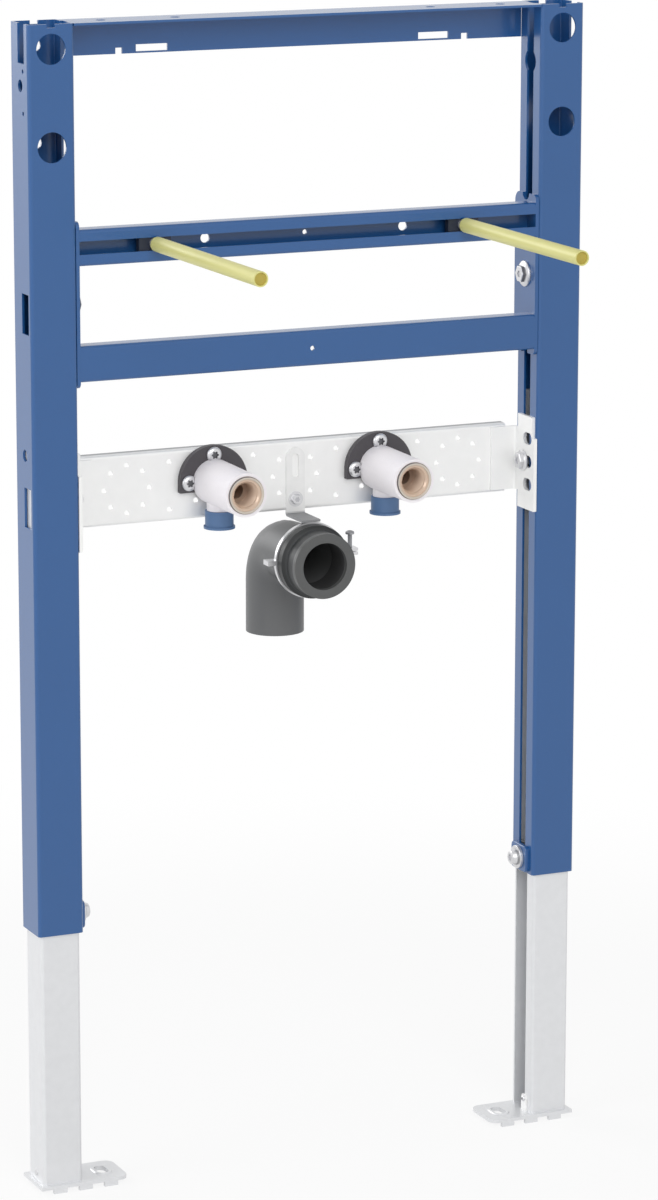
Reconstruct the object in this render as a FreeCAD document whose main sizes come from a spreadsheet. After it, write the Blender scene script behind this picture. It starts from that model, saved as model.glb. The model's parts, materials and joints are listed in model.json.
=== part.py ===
import FreeCAD, Part
import math
import os
import Sketcher

# Installation frame for a wall hung washbasin: two roll-formed uprights on telescoping legs,
# three cross rails, a punched plate with two tap elbows, and a drain bend held by a pipe clamp.
# Millimetres. X runs across the frame, Y points to the wall, Z is up.
# The origin is on the back face of the top rail, half way along and half way up its web.

doc = FreeCAD.newDocument("basin_frame")
sheet = doc.addObject("Spreadsheet::Sheet", "Sizes")
nodes = []


class Size:
    """A length that carries its sheet formula and its present value."""

    def __init__(self, text, value):
        self.text = text
        self.value = value

    def __add__(self, other):
        other = as_size(other)
        return Size("(%s + %s)" % (self.text, other.text), self.value + other.value)

    def __sub__(self, other):
        other = as_size(other)
        return Size("(%s - %s)" % (self.text, other.text), self.value - other.value)

    def __mul__(self, factor):
        return Size("(%s * %s)" % (self.text, factor), self.value * factor)

    def __truediv__(self, factor):
        return Size("(%s / %s)" % (self.text, factor), self.value / factor)

    def __neg__(self):
        return Size("(0 - %s)" % self.text, -self.value)


def as_size(value):
    """A plain number as a Size, so that it can stand in a formula."""
    return value if isinstance(value, Size) else Size(repr(value), value)


def size(alias, value, note):
    """Write one driving dimension to the sheet and return it as a Size."""
    row = size.row = getattr(size, "row", 0) + 1
    sheet.set("A%d" % row, note)
    sheet.set("B%d" % row, str(value))
    sheet.setAlias("B%d" % row, alias)
    return Size("Sizes." + alias, float(value))


# Driving dimensions of the frame
width = size("width", 500, "over the uprights")
section = size("section", 40, "upright, width and depth of the section")
metal = size("metal", 2, "sheet of the uprights, rails and legs")
bend = size("bend", 3, "outside bend radius of the folded sheet")
lip = size("lip", 14, "upright, width of each lip")
upright_length = size("upright_length", 758, "upright, cut length")
zero = Size("0", 0.0)

# Uprights, holes measured down from the top
front_hole = size("front_hole", 25, "upright, access hole diameter in the front")
anchor_hole = size("anchor_hole", 11, "upright, wall anchor hole diameter in the back")
anchor_drop = size("anchor_drop", 20, "upright, top to first anchor hole")
anchor_pitch = size("anchor_pitch", 79, "upright, first to second anchor hole")
top_slot_width = size("top_slot_width", 14, "upright, open slot in the top of the web")
top_slot_set = size("top_slot_set", 16, "upright, front to the middle of that slot")
top_slot_depth = size("top_slot_depth", 32, "upright, depth of that slot")
side_hole = size("side_hole", 10, "upright, round holes in the web")
side_drop = size("side_drop", 50, "upright, top to the first web hole")
side_set = size("side_set", 18, "upright, front to the web holes")
side_pitch = size("side_pitch", 302.4, "upright, first to second web hole")
side_slot_width = size("side_slot_width", 15, "upright, rectangular slots in the web")
side_slot_height = size("side_slot_height", 33, "upright, height of those slots")
side_slot_drop = size("side_slot_drop", 235, "upright, top to the middle of the first slot")
side_slot_pitch = size("side_slot_pitch", 160.6, "upright, first to second slot")
side_slot_set = size("side_slot_set", 13, "upright, front to the middle of the slots")
pin_hole = size("pin_hole", 3.5, "upright, small holes in the web")
pin_drop = size("pin_drop", 38, "upright, top to the first small hole")
pin_pitch = size("pin_pitch", 34, "upright, first to second small hole")
pin_set = size("pin_set", 12, "upright, front to the small holes")
key_hole = size("key_hole", 20, "upright, round widening of the inner slot")
key_drop = size("key_drop", 49, "upright, top to that widening")
notch = size("notch", 7, "upright, width of the notches in the top edge")
notch_depth = size("notch_depth", 3, "upright, depth of the notches in the top edge")

# Legs and feet
leg_gap = size("leg_gap", 0.5, "leg, running gap inside the upright")
leg_lip = size("leg_lip", 12, "leg, width of the front lip")
leg_inside = size("leg_inside", 425, "leg, length inside the upright as drawn")
leg_drop = size("leg_drop", 219, "leg, length below the upright as drawn")
foot_metal = size("foot_metal", 3, "foot plate, thickness")
foot_length = size("foot_length", 79, "foot plate, outer end to inner end")
foot_depth = size("foot_depth", 44, "foot plate, front to back")
foot_out = size("foot_out", 1, "foot plate, overhang outside the upright")
foot_round = size("foot_round", 8, "foot plate, corner radius of the inner end")
foot_lug = size("foot_lug", 4, "foot plate, height of the lugs under it")
foot_lug_long = size("foot_lug_long", 12, "foot plate, length of each lug")
foot_lug_set = size("foot_lug_set", 10, "foot plate, upright face to the first lug")
foot_lug_pitch = size("foot_lug_pitch", 23, "foot plate, lug to lug")
foot_slot_width = size("foot_slot_width", 10, "foot plate, floor screw slot, width")
foot_slot_length = size("foot_slot_length", 18, "foot plate, floor screw slot, length")
foot_slot_set = size("foot_slot_set", 62, "foot plate, outer end to the slot")
clamp_tab = size("clamp_tab", 28, "leg clamp, height of the tab")
clamp_round = size("clamp_round", 6, "leg clamp, corner radius")
clamp_metal = size("clamp_metal", 3, "leg clamp and joint plates, thickness")
clamp_rise = size("clamp_rise", 13, "leg clamp, upright end to the screw")

# Rails
top_rail_height = size("top_rail_height", 30, "top rail, height of the web")
top_slot_long = size("top_slot_long", 28, "top rail, length of the two slots")
top_slot_high = size("top_slot_high", 5.7, "top rail, height of the two slots")
top_slot_edge = size("top_slot_edge", 1.4, "top rail, strip below the slots")
top_slot_span = size("top_slot_span", 255, "top rail, between the middles of the slots")
edge_notch = size("edge_notch", 6, "top rail, width of the notches in its lower edge")
edge_notch_high = size("edge_notch_high", 5, "top rail, height of those notches")
edge_notch_span = size("edge_notch_span", 313, "top rail, between those notches")
flange_hole = size("flange_hole", 8, "top rail, holes in its flange")
flange_hole_set = size("flange_hole_set", 22, "top rail, back to those holes")
flange_hole_near = size("flange_hole_near", 230, "top rail, between the inner pair of those holes")
flange_hole_far = size("flange_hole_far", 360, "top rail, between the outer pair of those holes")
rail_height = size("rail_height", 30, "cross rails, height of the section")
rail_depth = size("rail_depth", 18, "cross rails, depth of the section")
rail_lip = size("rail_lip", 9.5, "cross rails, width of each lip")
rail_set = size("rail_set", 1, "cross rails, set back from the front")
basin_drop = size("basin_drop", 182, "frame top to the middle of the basin rail")
lower_drop = size("lower_drop", 277.5, "frame top to the middle of the lower rail")
joint_low = size("joint_low", 5, "joint plates, reach below the lower rail")
joint_high = size("joint_high", 6.5, "joint plates, reach above the basin rail")
joint_round = size("joint_round", 5, "joint plates, corner radius")
joint_back_round = size("joint_back_round", 8.5, "joint plates, radius of the upper corner at the back")
rail_hole = size("rail_hole", 8, "basin rail, round holes in the web")
rail_hole_span = size("rail_hole_span", 180, "basin rail, between the outer round holes")
rail_pin = size("rail_pin", 4, "cross rails, small hole half way along")

# Basin studs
stud_span = size("stud_span", 280, "between the basin studs")
stud = size("stud", 10, "basin stud, diameter")
stud_reach = size("stud_reach", 210, "basin stud, length in front of the frame")
sleeve = size("sleeve", 12.5, "stud sleeve, outside diameter")
sleeve_gap = size("sleeve_gap", 0.2, "stud sleeve, gap round the stud")
sleeve_set = size("sleeve_set", 3, "stud sleeve, start in front of the rail")
sleeve_over = size("sleeve_over", 3, "stud sleeve, length past the end of the stud")
nut_width = size("nut_width", 28, "channel nut, width across the slot")
nut_tall = size("nut_tall", 20, "channel nut, length along the slot")
nut_thick = size("nut_thick", 6, "channel nut, thickness")
nut_gap = size("nut_gap", 0.3, "channel nut, gap to the channel")

# Mounting plate and its brackets
plate_height = size("plate_height", 60, "mounting plate, height")
plate_drop = size("plate_drop", 391.5, "frame top to the middle of the mounting plate")
plate_back = size("plate_back", 2, "mounting plate, front face to the back of the frame")
plate_end = size("plate_end", 11.5, "mounting plate, gap to the upright at each end")
punch = size("punch", 4.4, "mounting plate, diameter of the punched holes")
punch_ring = size("punch_ring", 40.5, "mounting plate, pitch circle of the punched holes")
plate_fold = size("plate_fold", 10, "mounting plate, depth of its folded edges")
bracket_metal = size("bracket_metal", 3, "plate bracket, sheet")
bracket_relief = size("bracket_relief", 2.5, "plate bracket, relief beside the tongue, past the bend")
bracket_bend = size("bracket_bend", 5, "plate bracket, outside bend radius")
bracket_height = size("bracket_height", 81.4, "plate bracket, height")
bracket_below = size("bracket_below", 42, "plate bracket, reach below the middle of the plate")
bracket_step = size("bracket_step", 4, "plate bracket, set back of its upper end")
bracket_step_height = size("bracket_step_height", 18, "plate bracket, height of the upper end")
bracket_tongue = size("bracket_tongue", 26, "plate bracket, length of the tongue on the plate")
bracket_tongue_height = size("bracket_tongue_height", 55, "plate bracket, height of the tongue")
bracket_slot = size("bracket_slot", 10.5, "plate bracket, height of its slots")
bracket_slot_long = size("bracket_slot_long", 15.5, "plate bracket, length of its slots")
bracket_pitch = size("bracket_pitch", 20, "plate bracket, slot pitch")
bracket_edge = size("bracket_edge", 12.2, "plate bracket, front edge to the middle of the slots")
bracket_washer = size("bracket_washer", 18, "plate bracket, washer diameter")

# Tap elbows
tap_span = size("tap_span", 153, "between the tap elbows")
tap_disc = size("tap_disc", 61, "tap flange, width and diameter")
tap_disc_thick = size("tap_disc_thick", 6, "tap flange, thickness")
tap_rise = size("tap_rise", 1.8, "tap elbows, axis above the middle of the plate")
tap_flat = size("tap_flat", 8.3, "tap flange, axis to the flat below it")
tap_reach = size("tap_reach", 36, "tap elbow, length in front of the frame")
tap_back = size("tap_back", 38, "tap body, diameter at the flange")
tap_front = size("tap_front", 37, "tap body, diameter at the front")
neck = size("neck", 21, "tap body, diameter of the neck above the supply cap")
socket_out = size("socket_out", 31.6, "tap socket, outside diameter")
socket_bore = size("socket_bore", 20.9, "tap socket, bore of the thread")
socket_deep = size("socket_deep", 22, "tap socket, depth of the thread")
socket_mouth = size("socket_mouth", 23.4, "tap socket, diameter of its chamfered mouth")
socket_mouth_deep = size("socket_mouth_deep", 1.5, "tap socket, depth of that chamfer")
passage = size("passage", 13.3, "tap socket, water way behind the thread")
feed = size("feed", 12.6, "tap socket, water way down the spigot")
supply_set = size("supply_set", 11, "supply spigot, axis in front of the tap flange")
spigot = size("spigot", 18, "supply spigot, diameter")
cap_out = size("cap_out", 24, "supply cap, diameter")
cap_rim = size("cap_rim", 26.5, "supply cap, diameter of its rim")
cap_rim_high = size("cap_rim_high", 2, "supply cap, height of its rim")
cap_low = size("cap_low", 37.8, "supply cap, tap axis to its lower end")
cap_gap = size("cap_gap", 3.8, "supply cap, gap below the tap body")
disc_screw = size("disc_screw", 13.2, "flange screw, head diameter")
disc_screw_crown = size("disc_screw_crown", 9, "flange screw, flat on top of the head")
disc_screw_high = size("disc_screw_high", 3, "flange screw, head height")
disc_screw_from = size("disc_screw_from", 22.6, "flange screws, distance from the tap axis")

# Drain bend and its clamp
drain_drop = size("drain_drop", 458.5, "frame top to the drain axis")
drain_pipe = size("drain_pipe", 50, "drain bend, pipe diameter")
drain_wall = size("drain_wall", 3, "drain bend, wall")
drain_behind = size("drain_behind", 40, "drain bend, upright pipe axis behind the frame")
drain_low = size("drain_low", 76, "drain bend, drain axis to the lower end")
drain_radius = size("drain_radius", 31, "drain bend, bend radius of the axis")
drain_reach = size("drain_reach", 25, "drain socket, length in front of the frame")
drain_ring = size("drain_ring", 55.4, "drain socket, front ring diameter")
drain_ring_long = size("drain_ring_long", 17, "drain socket, length of the front ring")
drain_collar = size("drain_collar", 62.6, "drain socket, collar diameter")
drain_collar_set = size("drain_collar_set", 20, "drain socket, front to the full collar")
drain_collar_end = size("drain_collar_end", 28.5, "drain socket, front to the back of the collar")
drain_bore = size("drain_bore", 46, "drain socket, seat of the seal")
drain_bore_deep = size("drain_bore_deep", 34, "drain socket, front to the end of that seat")
seal_bore = size("seal_bore", 40, "drain seal, bore")
seal_set = size("seal_set", 5, "drain seal, set back from the front")
seal_long = size("seal_long", 26, "drain seal, length")
band = size("band", 65, "pipe clamp, outside diameter")
band_wide = size("band_wide", 4, "pipe clamp, width along the pipe")
band_gap = size("band_gap", 0.3, "pipe clamp, gap to the pipe and the collar")
ear_reach = size("ear_reach", 11, "pipe clamp, length of its ears")
ear_rise = size("ear_rise", 4, "pipe clamp, ears above the drain axis")
hook_reach = size("hook_reach", 7, "pipe clamp, length of the hook on its closed side")
hook_half = size("hook_half", 2, "pipe clamp, half the height of that hook")
ear_deep = size("ear_deep", 10, "pipe clamp, depth of its ears along the pipe")
ear_half = size("ear_half", 3, "pipe clamp, half the height of a pair of ears")
ear_gap = size("ear_gap", 1, "pipe clamp, gap between its halves")
clamp_screw = size("clamp_screw", 4, "pipe clamp, screw diameter")
clamp_screw_long = size("clamp_screw_long", 11.5, "pipe clamp, screw length above the ear")
clamp_screw_head = size("clamp_screw_head", 7.5, "pipe clamp, screw head diameter")
clamp_screw_high = size("clamp_screw_high", 2.5, "pipe clamp, screw head height")
arm_wide = size("arm_wide", 17, "drain arm, width")
arm_rise = size("arm_rise", 54, "drain arm, height on the mounting plate")
arm_slot = size("arm_slot", 6, "drain arm, width of its slot")
arm_slot_long = size("arm_slot_long", 20, "drain arm, length of its slot")
arm_screw_head = size("arm_screw_head", 9.6, "drain arm, screw head diameter")
arm_screw_high = size("arm_screw_high", 3, "drain arm, screw head height")
arm_washer = size("arm_washer", 13, "drain arm, washer diameter")

# Screws of the frame
bolt = size("bolt", 8, "frame screws, shank diameter")
bolt_head = size("bolt_head", 14, "frame screws, head diameter")
bolt_head_high = size("bolt_head_high", 4.5, "frame screws, head height")
washer = size("washer", 22, "frame screws, washer diameter")
washer_thick = size("washer_thick", 1.6, "frame screws, washer thickness")
screw_gap = size("screw_gap", 0.2, "gap round a screw in its hole")
over = size("over", 5, "length by which a cutting tool passes the metal")
doc.recompute()

# Places that several pieces share
frame_top = top_rail_height / 2
frame_front = -section
frame_middle = -(section / 2)
upright_base = frame_top - upright_length
half_width = width / 2
inner_face = half_width - section
anchor_x = half_width - section / 2
joint_face = inner_face - clamp_metal
basin_level = frame_top - basin_drop
lower_level = frame_top - lower_drop
plate_level = frame_top - plate_drop
tap_level = plate_level + tap_rise
drain_level = frame_top - drain_drop
plate_face = -plate_back
tap_face = plate_face - tap_disc_thick
tap_tip = frame_front - tap_reach
rail_front = frame_front + rail_set
leg_inset = metal + leg_gap

SIDES = (("left", -1), ("right", 1))
TURN = {
    "Z": FreeCAD.Rotation(),
    "-Z": FreeCAD.Rotation(FreeCAD.Vector(1, 0, 0), 180),
    "-Y": FreeCAD.Rotation(FreeCAD.Vector(1, 0, 0), 90),
    "Y": FreeCAD.Rotation(FreeCAD.Vector(1, 0, 0), -90),
    "X": FreeCAD.Rotation(FreeCAD.Vector(0, 1, 0), 90),
    "-X": FreeCAD.Rotation(FreeCAD.Vector(0, 1, 0), -90),
}


# Building blocks, each bound to the sheet

def bind(obj, prop, value):
    """Bind one property to a formula of the sheet."""
    obj.setExpression(prop, as_size(value).text)


def place(obj, at, direction="Z"):
    """Put an object at a point, with its own Z axis along a direction."""
    obj.Placement = FreeCAD.Placement(FreeCAD.Vector(*[as_size(v).value for v in at]), TURN[direction])
    for axis, value in zip("xyz", at):
        bind(obj, "Placement.Base." + axis, value)
    return obj


def box(at, extent):
    """A box from its lowest corner and its three extents."""
    obj = doc.addObject("Part::Box", "block")
    for prop, value in zip(("Length", "Width", "Height"), extent):
        bind(obj, prop, value)
    return place(obj, at)


def rod(at, direction, diameter, length):
    """A round bar from the centre of its first end."""
    obj = doc.addObject("Part::Cylinder", "bar")
    bind(obj, "Radius", diameter / 2)
    bind(obj, "Height", length)
    return place(obj, at, direction)


def fuse(pieces):
    """Several pieces joined to one solid."""
    obj = doc.addObject("Part::MultiFuse", "joined")
    obj.Shapes = pieces
    obj.Refine = True
    return obj


def cut(base, tools):
    """A piece with one or more tools taken away."""
    obj = doc.addObject("Part::Cut", "cut")
    obj.Base = base
    obj.Tool = tools[0] if len(tools) == 1 else fuse(tools)
    obj.Refine = True
    return obj


def node(label, obj):
    """Name a finished sub-part and keep it for writing."""
    obj.Label = label
    nodes.append(obj)
    return obj


def closed_sketch(body, role, outline):
    """A closed outline of straight lines on one of a body's own planes, every corner bound to the sheet."""
    sketch = body.newObject("Sketcher::SketchObject", "outline")
    plane = [feature for feature in body.Origin.OriginFeatures if feature.Role == role][0]
    sketch.AttachmentSupport = [(plane, "")]
    sketch.MapMode = "FlatFace"
    corners = [(as_size(a), as_size(b)) for a, b in outline]
    points = [FreeCAD.Vector(a.value, b.value, 0) for a, b in corners]
    for index, point in enumerate(points):
        sketch.addGeometry(Part.LineSegment(point, points[(index + 1) % len(points)]), False)
    for index in range(len(points)):
        sketch.addConstraint(Sketcher.Constraint("Coincident", index, 2, (index + 1) % len(points), 1))
    for index, corner in enumerate(corners):
        for kind, axis, value in (("DistanceX", -2, corner[0]), ("DistanceY", -1, corner[1])):
            if value.text == "0":
                sketch.addConstraint(Sketcher.Constraint("PointOnObject", index, 1, axis))
                continue
            number = sketch.addConstraint(Sketcher.Constraint(kind, -1, 1, index, 1, value.value))
            sketch.setExpression("Constraints[%d]" % number, value.text)
    return sketch


def pad(role, outline, start, length, bends=()):
    """A folded or flat piece: an outline on a plane, padded, with its bends rounded.

    bends holds pairs of a radius and the numbers of the corners that get it.
    """
    body = doc.addObject("PartDesign::Body", "folded")
    sketch = closed_sketch(body, role, outline)
    feature = body.newObject("PartDesign::Pad", "pad")
    feature.Profile = sketch
    bind(feature, "Length", length)
    sketch.Visibility = False
    for radius, corners in bends:
        doc.recompute()
        feature = round_corners(body, feature, role, [outline[index] for index in corners], radius)
    bind(body, "Placement.Base." + ("z" if role == "XY_Plane" else "x"), start)
    return body


def round_corners(body, feature, role, corners, radius):
    """Round the edges that stand on some corners of a padded outline."""
    first, second = ("x", "y") if role == "XY_Plane" else ("y", "z")
    near = 0.01
    wanted = []
    for number, edge in enumerate(feature.Shape.Edges, 1):
        ends = [vertex.Point for vertex in edge.Vertexes]
        for a, b in corners:
            place_a = as_size(a).value
            place_b = as_size(b).value
            if all(abs(getattr(end, first) - place_a) < near and abs(getattr(end, second) - place_b) < near
                   for end in ends):
                wanted.append("Edge%d" % number)
    fillet = body.newObject("PartDesign::Fillet", "bends")
    fillet.Base = (feature, wanted)
    bind(fillet, "Radius", radius)
    return fillet


def turned(at, direction, outline):
    """A turned piece: an outline of radius and distance along its axis, revolved."""
    body = doc.addObject("PartDesign::Body", "turned")
    sketch = closed_sketch(body, "XZ_Plane", outline)
    feature = body.newObject("PartDesign::Revolution", "revolution")
    feature.Profile = sketch
    feature.ReferenceAxis = (sketch, ["V_Axis"])
    feature.Angle = 360
    return place(body, at, direction)


def screw(at, direction, shank_long, shank=bolt, head=bolt_head, head_high=bolt_head_high,
          ring=washer, ring_thick=washer_thick):
    """A screw with a washer: the washer's face is at the given point, the shank points the other way."""
    return turned(at, direction, (
        (zero, -shank_long), (shank / 2, -shank_long), (shank / 2, zero), (ring / 2, zero),
        (ring / 2, ring_thick), (head / 2, ring_thick), (head / 2, ring_thick + head_high),
        (zero, ring_thick + head_high)))


def across(side, inward):
    """The X of a point at a distance inward from the outer face of one upright."""
    return (half_width - inward) * side


def low_x(side, first, last):
    """The lower X of a span given by two distances inward, the first the smaller."""
    return across(side, last) if side > 0 else across(side, first)


# Uprights: a lipped channel with its web outside and its slot towards the middle

def upright(name, side):
    back = zero
    outline = [(across(side, u), y) for u, y in (
        (zero, frame_front), (section, frame_front), (section, frame_front + lip),
        (section - metal, frame_front + lip), (section - metal, frame_front + metal),
        (metal, frame_front + metal), (metal, -metal), (section - metal, -metal),
        (section - metal, -lip), (section, -lip), (section, back), (zero, back))]
    channel = pad("XY_Plane", outline, upright_base, upright_length,
                  ((bend, (0, 1, 10, 11)), (bend - metal, (4, 5, 6, 7))))
    x = anchor_x * side
    web_start = low_x(side, -over, metal + over)
    lip_start = low_x(side, section - metal - over, section + over)
    through = metal + over * 2
    tools = []
    for level in (frame_top - anchor_drop, frame_top - anchor_drop - anchor_pitch):
        tools.append(rod((x, frame_front - over, level), "Y", front_hole, through))
        tools.append(rod((x, -(metal + over), level), "Y", anchor_hole, through))
    tools.append(box((web_start, frame_front + top_slot_set - top_slot_width / 2, frame_top - top_slot_depth),
                     (through, top_slot_width, top_slot_depth + over)))
    for level in (frame_top - side_drop, frame_top - side_drop - side_pitch):
        tools.append(rod((web_start, frame_front + side_set, level), "X", side_hole, through))
    for level in (frame_top - pin_drop, frame_top - pin_drop - pin_pitch):
        tools.append(rod((web_start, frame_front + pin_set, level), "X", pin_hole, through))
    for level in (frame_top - side_slot_drop, frame_top - side_slot_drop - side_slot_pitch):
        tools.append(box((web_start, frame_front + side_slot_set - side_slot_width / 2,
                          level - side_slot_height / 2),
                         (through, side_slot_width, side_slot_height)))
    tools.append(rod((lip_start, frame_middle, frame_top - key_drop), "X", key_hole, through))
    tools.append(box((x - notch / 2, frame_front - over, frame_top - notch_depth),
                     (notch, section + over * 2, notch_depth + over)))
    return node(name + "_upright", cut(channel, tools))


# Legs: a smaller channel that slides in the upright, open towards the middle behind its front lip

def leg(name, side):
    front = frame_front + leg_inset
    back = -leg_inset
    near = leg_inset
    far = section - leg_inset
    outline = [(across(side, u), y) for u, y in (
        (near, front), (far, front), (far, front + leg_lip), (far - metal, front + leg_lip),
        (far - metal, front + metal), (near + metal, front + metal), (near + metal, back - metal),
        (far, back - metal), (far, back), (near, back))]
    channel = pad("XY_Plane", outline, upright_base - leg_drop, leg_drop + leg_inside,
                  ((bend, (0, 1, 9)), (bend - metal, (4, 5, 6))))
    return node(name + "_leg", channel)


def foot_plate(name, side):
    front = frame_middle - foot_depth / 2
    back = frame_middle + foot_depth / 2
    outline = [(across(side, u), y) for u, y in (
        (-foot_out, front), (foot_length - foot_out, front), (foot_length - foot_out, back),
        (-foot_out, back))]
    level = upright_base - leg_drop - foot_metal
    plate = pad("XY_Plane", outline, level, foot_metal, ((foot_round, (1, 2)),))
    straight = foot_slot_length - foot_slot_width
    middle = foot_slot_set - foot_out
    tools = [box((low_x(side, middle - foot_slot_width / 2, middle + foot_slot_width / 2),
                  frame_middle - straight / 2, level - over),
                 (foot_slot_width, straight, foot_metal + over * 2))]
    for end in (-1, 1):
        tools.append(rod((across(side, middle), frame_middle + straight / 2 * end, level - over), "Z",
                         foot_slot_width, foot_metal + over * 2))
    lugs = []
    for step in (0, 1, 2):
        inward = foot_lug_set + foot_lug_pitch * step
        for edge in (front, back - foot_metal):
            lugs.append(box((low_x(side, inward, inward + foot_lug_long), edge, level - foot_lug),
                            (foot_lug_long, foot_metal, foot_lug)))
    return node(name + "_foot_plate", fuse([cut(plate, tools)] + lugs))


# Plates on the slot side of the uprights, their screws, and the nuts inside the channel

def slot_plate(side, front, low, high, level, bends):
    """A flat plate across the slot of one upright, with rounded corners and a screw hole."""
    outline = [(front, low), (zero, low), (zero, high), (front, high)]
    plate = pad("YZ_Plane", outline, low_x(side, section, section + clamp_metal), clamp_metal, bends)
    return cut(plate, [screw_hole(side, section, clamp_metal, level)])


def screw_hole(side, inward, thick, level):
    """The clearance hole of a frame screw through a sheet that starts at a distance inward."""
    return rod((low_x(side, inward - over, inward + thick + over), frame_middle, level), "X",
               bolt + screw_gap * 2, thick + over * 2)


def slot_screw(side, thick, level, ring):
    """A screw through a sheet on the slot side, long enough for the nut inside the leg."""
    inward = "-X" if side > 0 else "X"
    return screw(((inner_face - thick) * side, frame_middle, level), inward,
                 thick + leg_inset + metal + nut_gap + nut_thick, ring=ring)


def channel_nut(side, level):
    """A nut on the screw that comes through the slot, small enough for the leg to pass round it."""
    far = section - leg_inset - metal - nut_gap
    nut = box((low_x(side, far - nut_thick, far), frame_middle - nut_width / 2, level - nut_tall / 2),
              (nut_thick, nut_width, nut_tall))
    thread = rod((low_x(side, far - nut_thick - over, far + over), frame_middle, level), "X",
                 bolt + screw_gap, nut_thick + over * 2)
    return cut(nut, [thread])


def leg_clamp(name, side):
    level = upright_base + clamp_rise
    tab_top = upright_base + clamp_tab
    node(name + "_leg_clamp", slot_plate(side, frame_front, upright_base, tab_top, level,
                                         ((clamp_round, (2, 3)),)))
    node(name + "_clamp_screw", slot_screw(side, clamp_metal, level, washer))
    return channel_nut(side, level)


def joint_plate(name, side):
    low = lower_level - rail_height / 2 - joint_low
    high = basin_level + rail_height / 2 + joint_high
    level = (basin_level + lower_level) / 2
    bends = ((joint_round, (0, 1, 3)), (joint_back_round, (2,)))
    plate = slot_plate(side, rail_front, low, high, level, bends)
    slot_ends = [rod((low_x(side, section - over, section + clamp_metal + over), frame_middle, end), "X",
                     section - lip * 2, clamp_metal + over * 2) for end in (low, high)]
    node(name + "_joint_plate", cut(plate, slot_ends))
    node(name + "_joint_bolt", slot_screw(side, clamp_metal, level, washer))
    return channel_nut(side, level)


# Rails between the uprights

def top_rail():
    low = -(top_rail_height / 2)
    back = zero
    outline = [(frame_front, frame_top - metal), (-metal, frame_top - metal), (-metal, low), (back, low),
               (back, frame_top), (frame_front, frame_top)]
    rail = pad("YZ_Plane", outline, -inner_face, inner_face * 2,
               ((bend, (4,)), (bend - metal, (1,))))
    tools = []
    through = metal + over * 2
    for side in (-1, 1):
        middle = top_slot_span / 2 * side
        tools.append(box((middle - top_slot_long / 2, -(metal + over), low + top_slot_edge),
                         (top_slot_long, through, top_slot_high)))
        tools.append(box((edge_notch_span / 2 * side - edge_notch / 2, -(metal + over), low - over),
                         (edge_notch, through, edge_notch_high + over)))
        for span in (flange_hole_near, flange_hole_far):
            tools.append(rod((span / 2 * side, -flange_hole_set, frame_top - metal - over), "Z",
                             flange_hole, through))
    return node("top_rail", cut(rail, tools))


def cross_rail(mouth, web, level):
    """A lipped channel along X, from the depth of its mouth to the depth of its web."""
    way = 1 if web.value > mouth.value else -1
    low = level - rail_height / 2
    high = level + rail_height / 2
    inner = web - metal * way
    lip_back = mouth + metal * way
    outline = [(mouth, low), (web, low), (web, high), (mouth, high), (mouth, high - rail_lip),
               (lip_back, high - rail_lip), (lip_back, high - metal), (inner, high - metal),
               (inner, low + metal), (lip_back, low + metal), (lip_back, low + rail_lip),
               (mouth, low + rail_lip)]
    return pad("YZ_Plane", outline, -joint_face, joint_face * 2,
               ((bend, (0, 1, 2, 3)), (bend - metal, (6, 7, 8, 9))))


def basin_rail():
    web = rail_front + rail_depth
    through = metal + over * 2
    tools = []
    start = web - metal - over
    for side in (-1, 1):
        tools.append(rod((rail_hole_span / 2 * side, start, basin_level), "Y", rail_hole, through))
    tools.append(rod((zero, start, basin_level), "Y", rail_pin, through))
    return node("basin_rail", cut(cross_rail(rail_front, web, basin_level), tools))


def lower_rail():
    hole = rod((zero, rail_front - over, lower_level), "Y", rail_pin, metal + over * 2)
    return node("lower_rail", cut(cross_rail(rail_front + rail_depth, rail_front, lower_level), [hole]))


# Basin studs in the open channel of the basin rail

def basin_stud(name, side):
    x = stud_span / 2 * side
    nut_front = rail_front + metal + nut_gap
    tip = frame_front - stud_reach
    nut_back = nut_front + nut_thick
    node(name + "_stud", rod((x, nut_back, basin_level), "-Y", stud, nut_back - tip))
    sleeve_start = rail_front - sleeve_set
    sleeve_length = sleeve_start - tip + sleeve_over
    tube = rod((x, sleeve_start, basin_level), "-Y", sleeve, sleeve_length)
    bore = rod((x, sleeve_start + over, basin_level), "-Y", stud + sleeve_gap * 2, sleeve_length + over * 2)
    node(name + "_stud_sleeve", cut(tube, [bore]))
    tall = rail_height - metal * 2 - nut_gap * 2
    nut = box((x - nut_width / 2, nut_front, basin_level - tall / 2), (nut_width, nut_thick, tall))
    thread = rod((x, nut_back + over, basin_level), "-Y", stud + screw_gap, nut_thick + over * 2)
    node(name + "_stud_nut", cut(nut, [thread]))


# Mounting plate, folded back along both edges and punched along its length, between two brackets

def punches():
    """Rings of eight holes at every half tap spacing, and a pair of holes between neighbouring rings."""
    radius = punch_ring / 2
    start = plate_face - over
    places = []
    for step in (-2, -1, 0, 1, 2):
        x = tap_span / 2 * step
        for turn in range(8):
            angle = math.radians(45 * turn)
            places.append((x + radius * round(math.cos(angle), 6),
                           plate_level + radius * round(math.sin(angle), 6)))
    for step in (-3, -1, 1, 3):
        for rise in (-1, 1):
            places.append((tap_span / 4 * step, plate_level + radius * rise))
    return [rod((x, start, z), "Y", punch, metal + over * 2) for x, z in places]


def mounting_plate():
    low = plate_level - plate_height / 2
    high = plate_level + plate_height / 2
    back = plate_face + plate_fold
    inside = plate_face + metal
    outline = [(plate_face, low), (back, low), (back, low + metal), (inside, low + metal),
               (inside, high - metal), (back, high - metal), (back, high), (plate_face, high)]
    reach = inner_face - plate_end
    plate = pad("YZ_Plane", outline, -reach, reach * 2, ((bend, (0, 7)), (bend - metal, (3, 4))))
    return node("mounting_plate", cut(plate, punches()))


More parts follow.
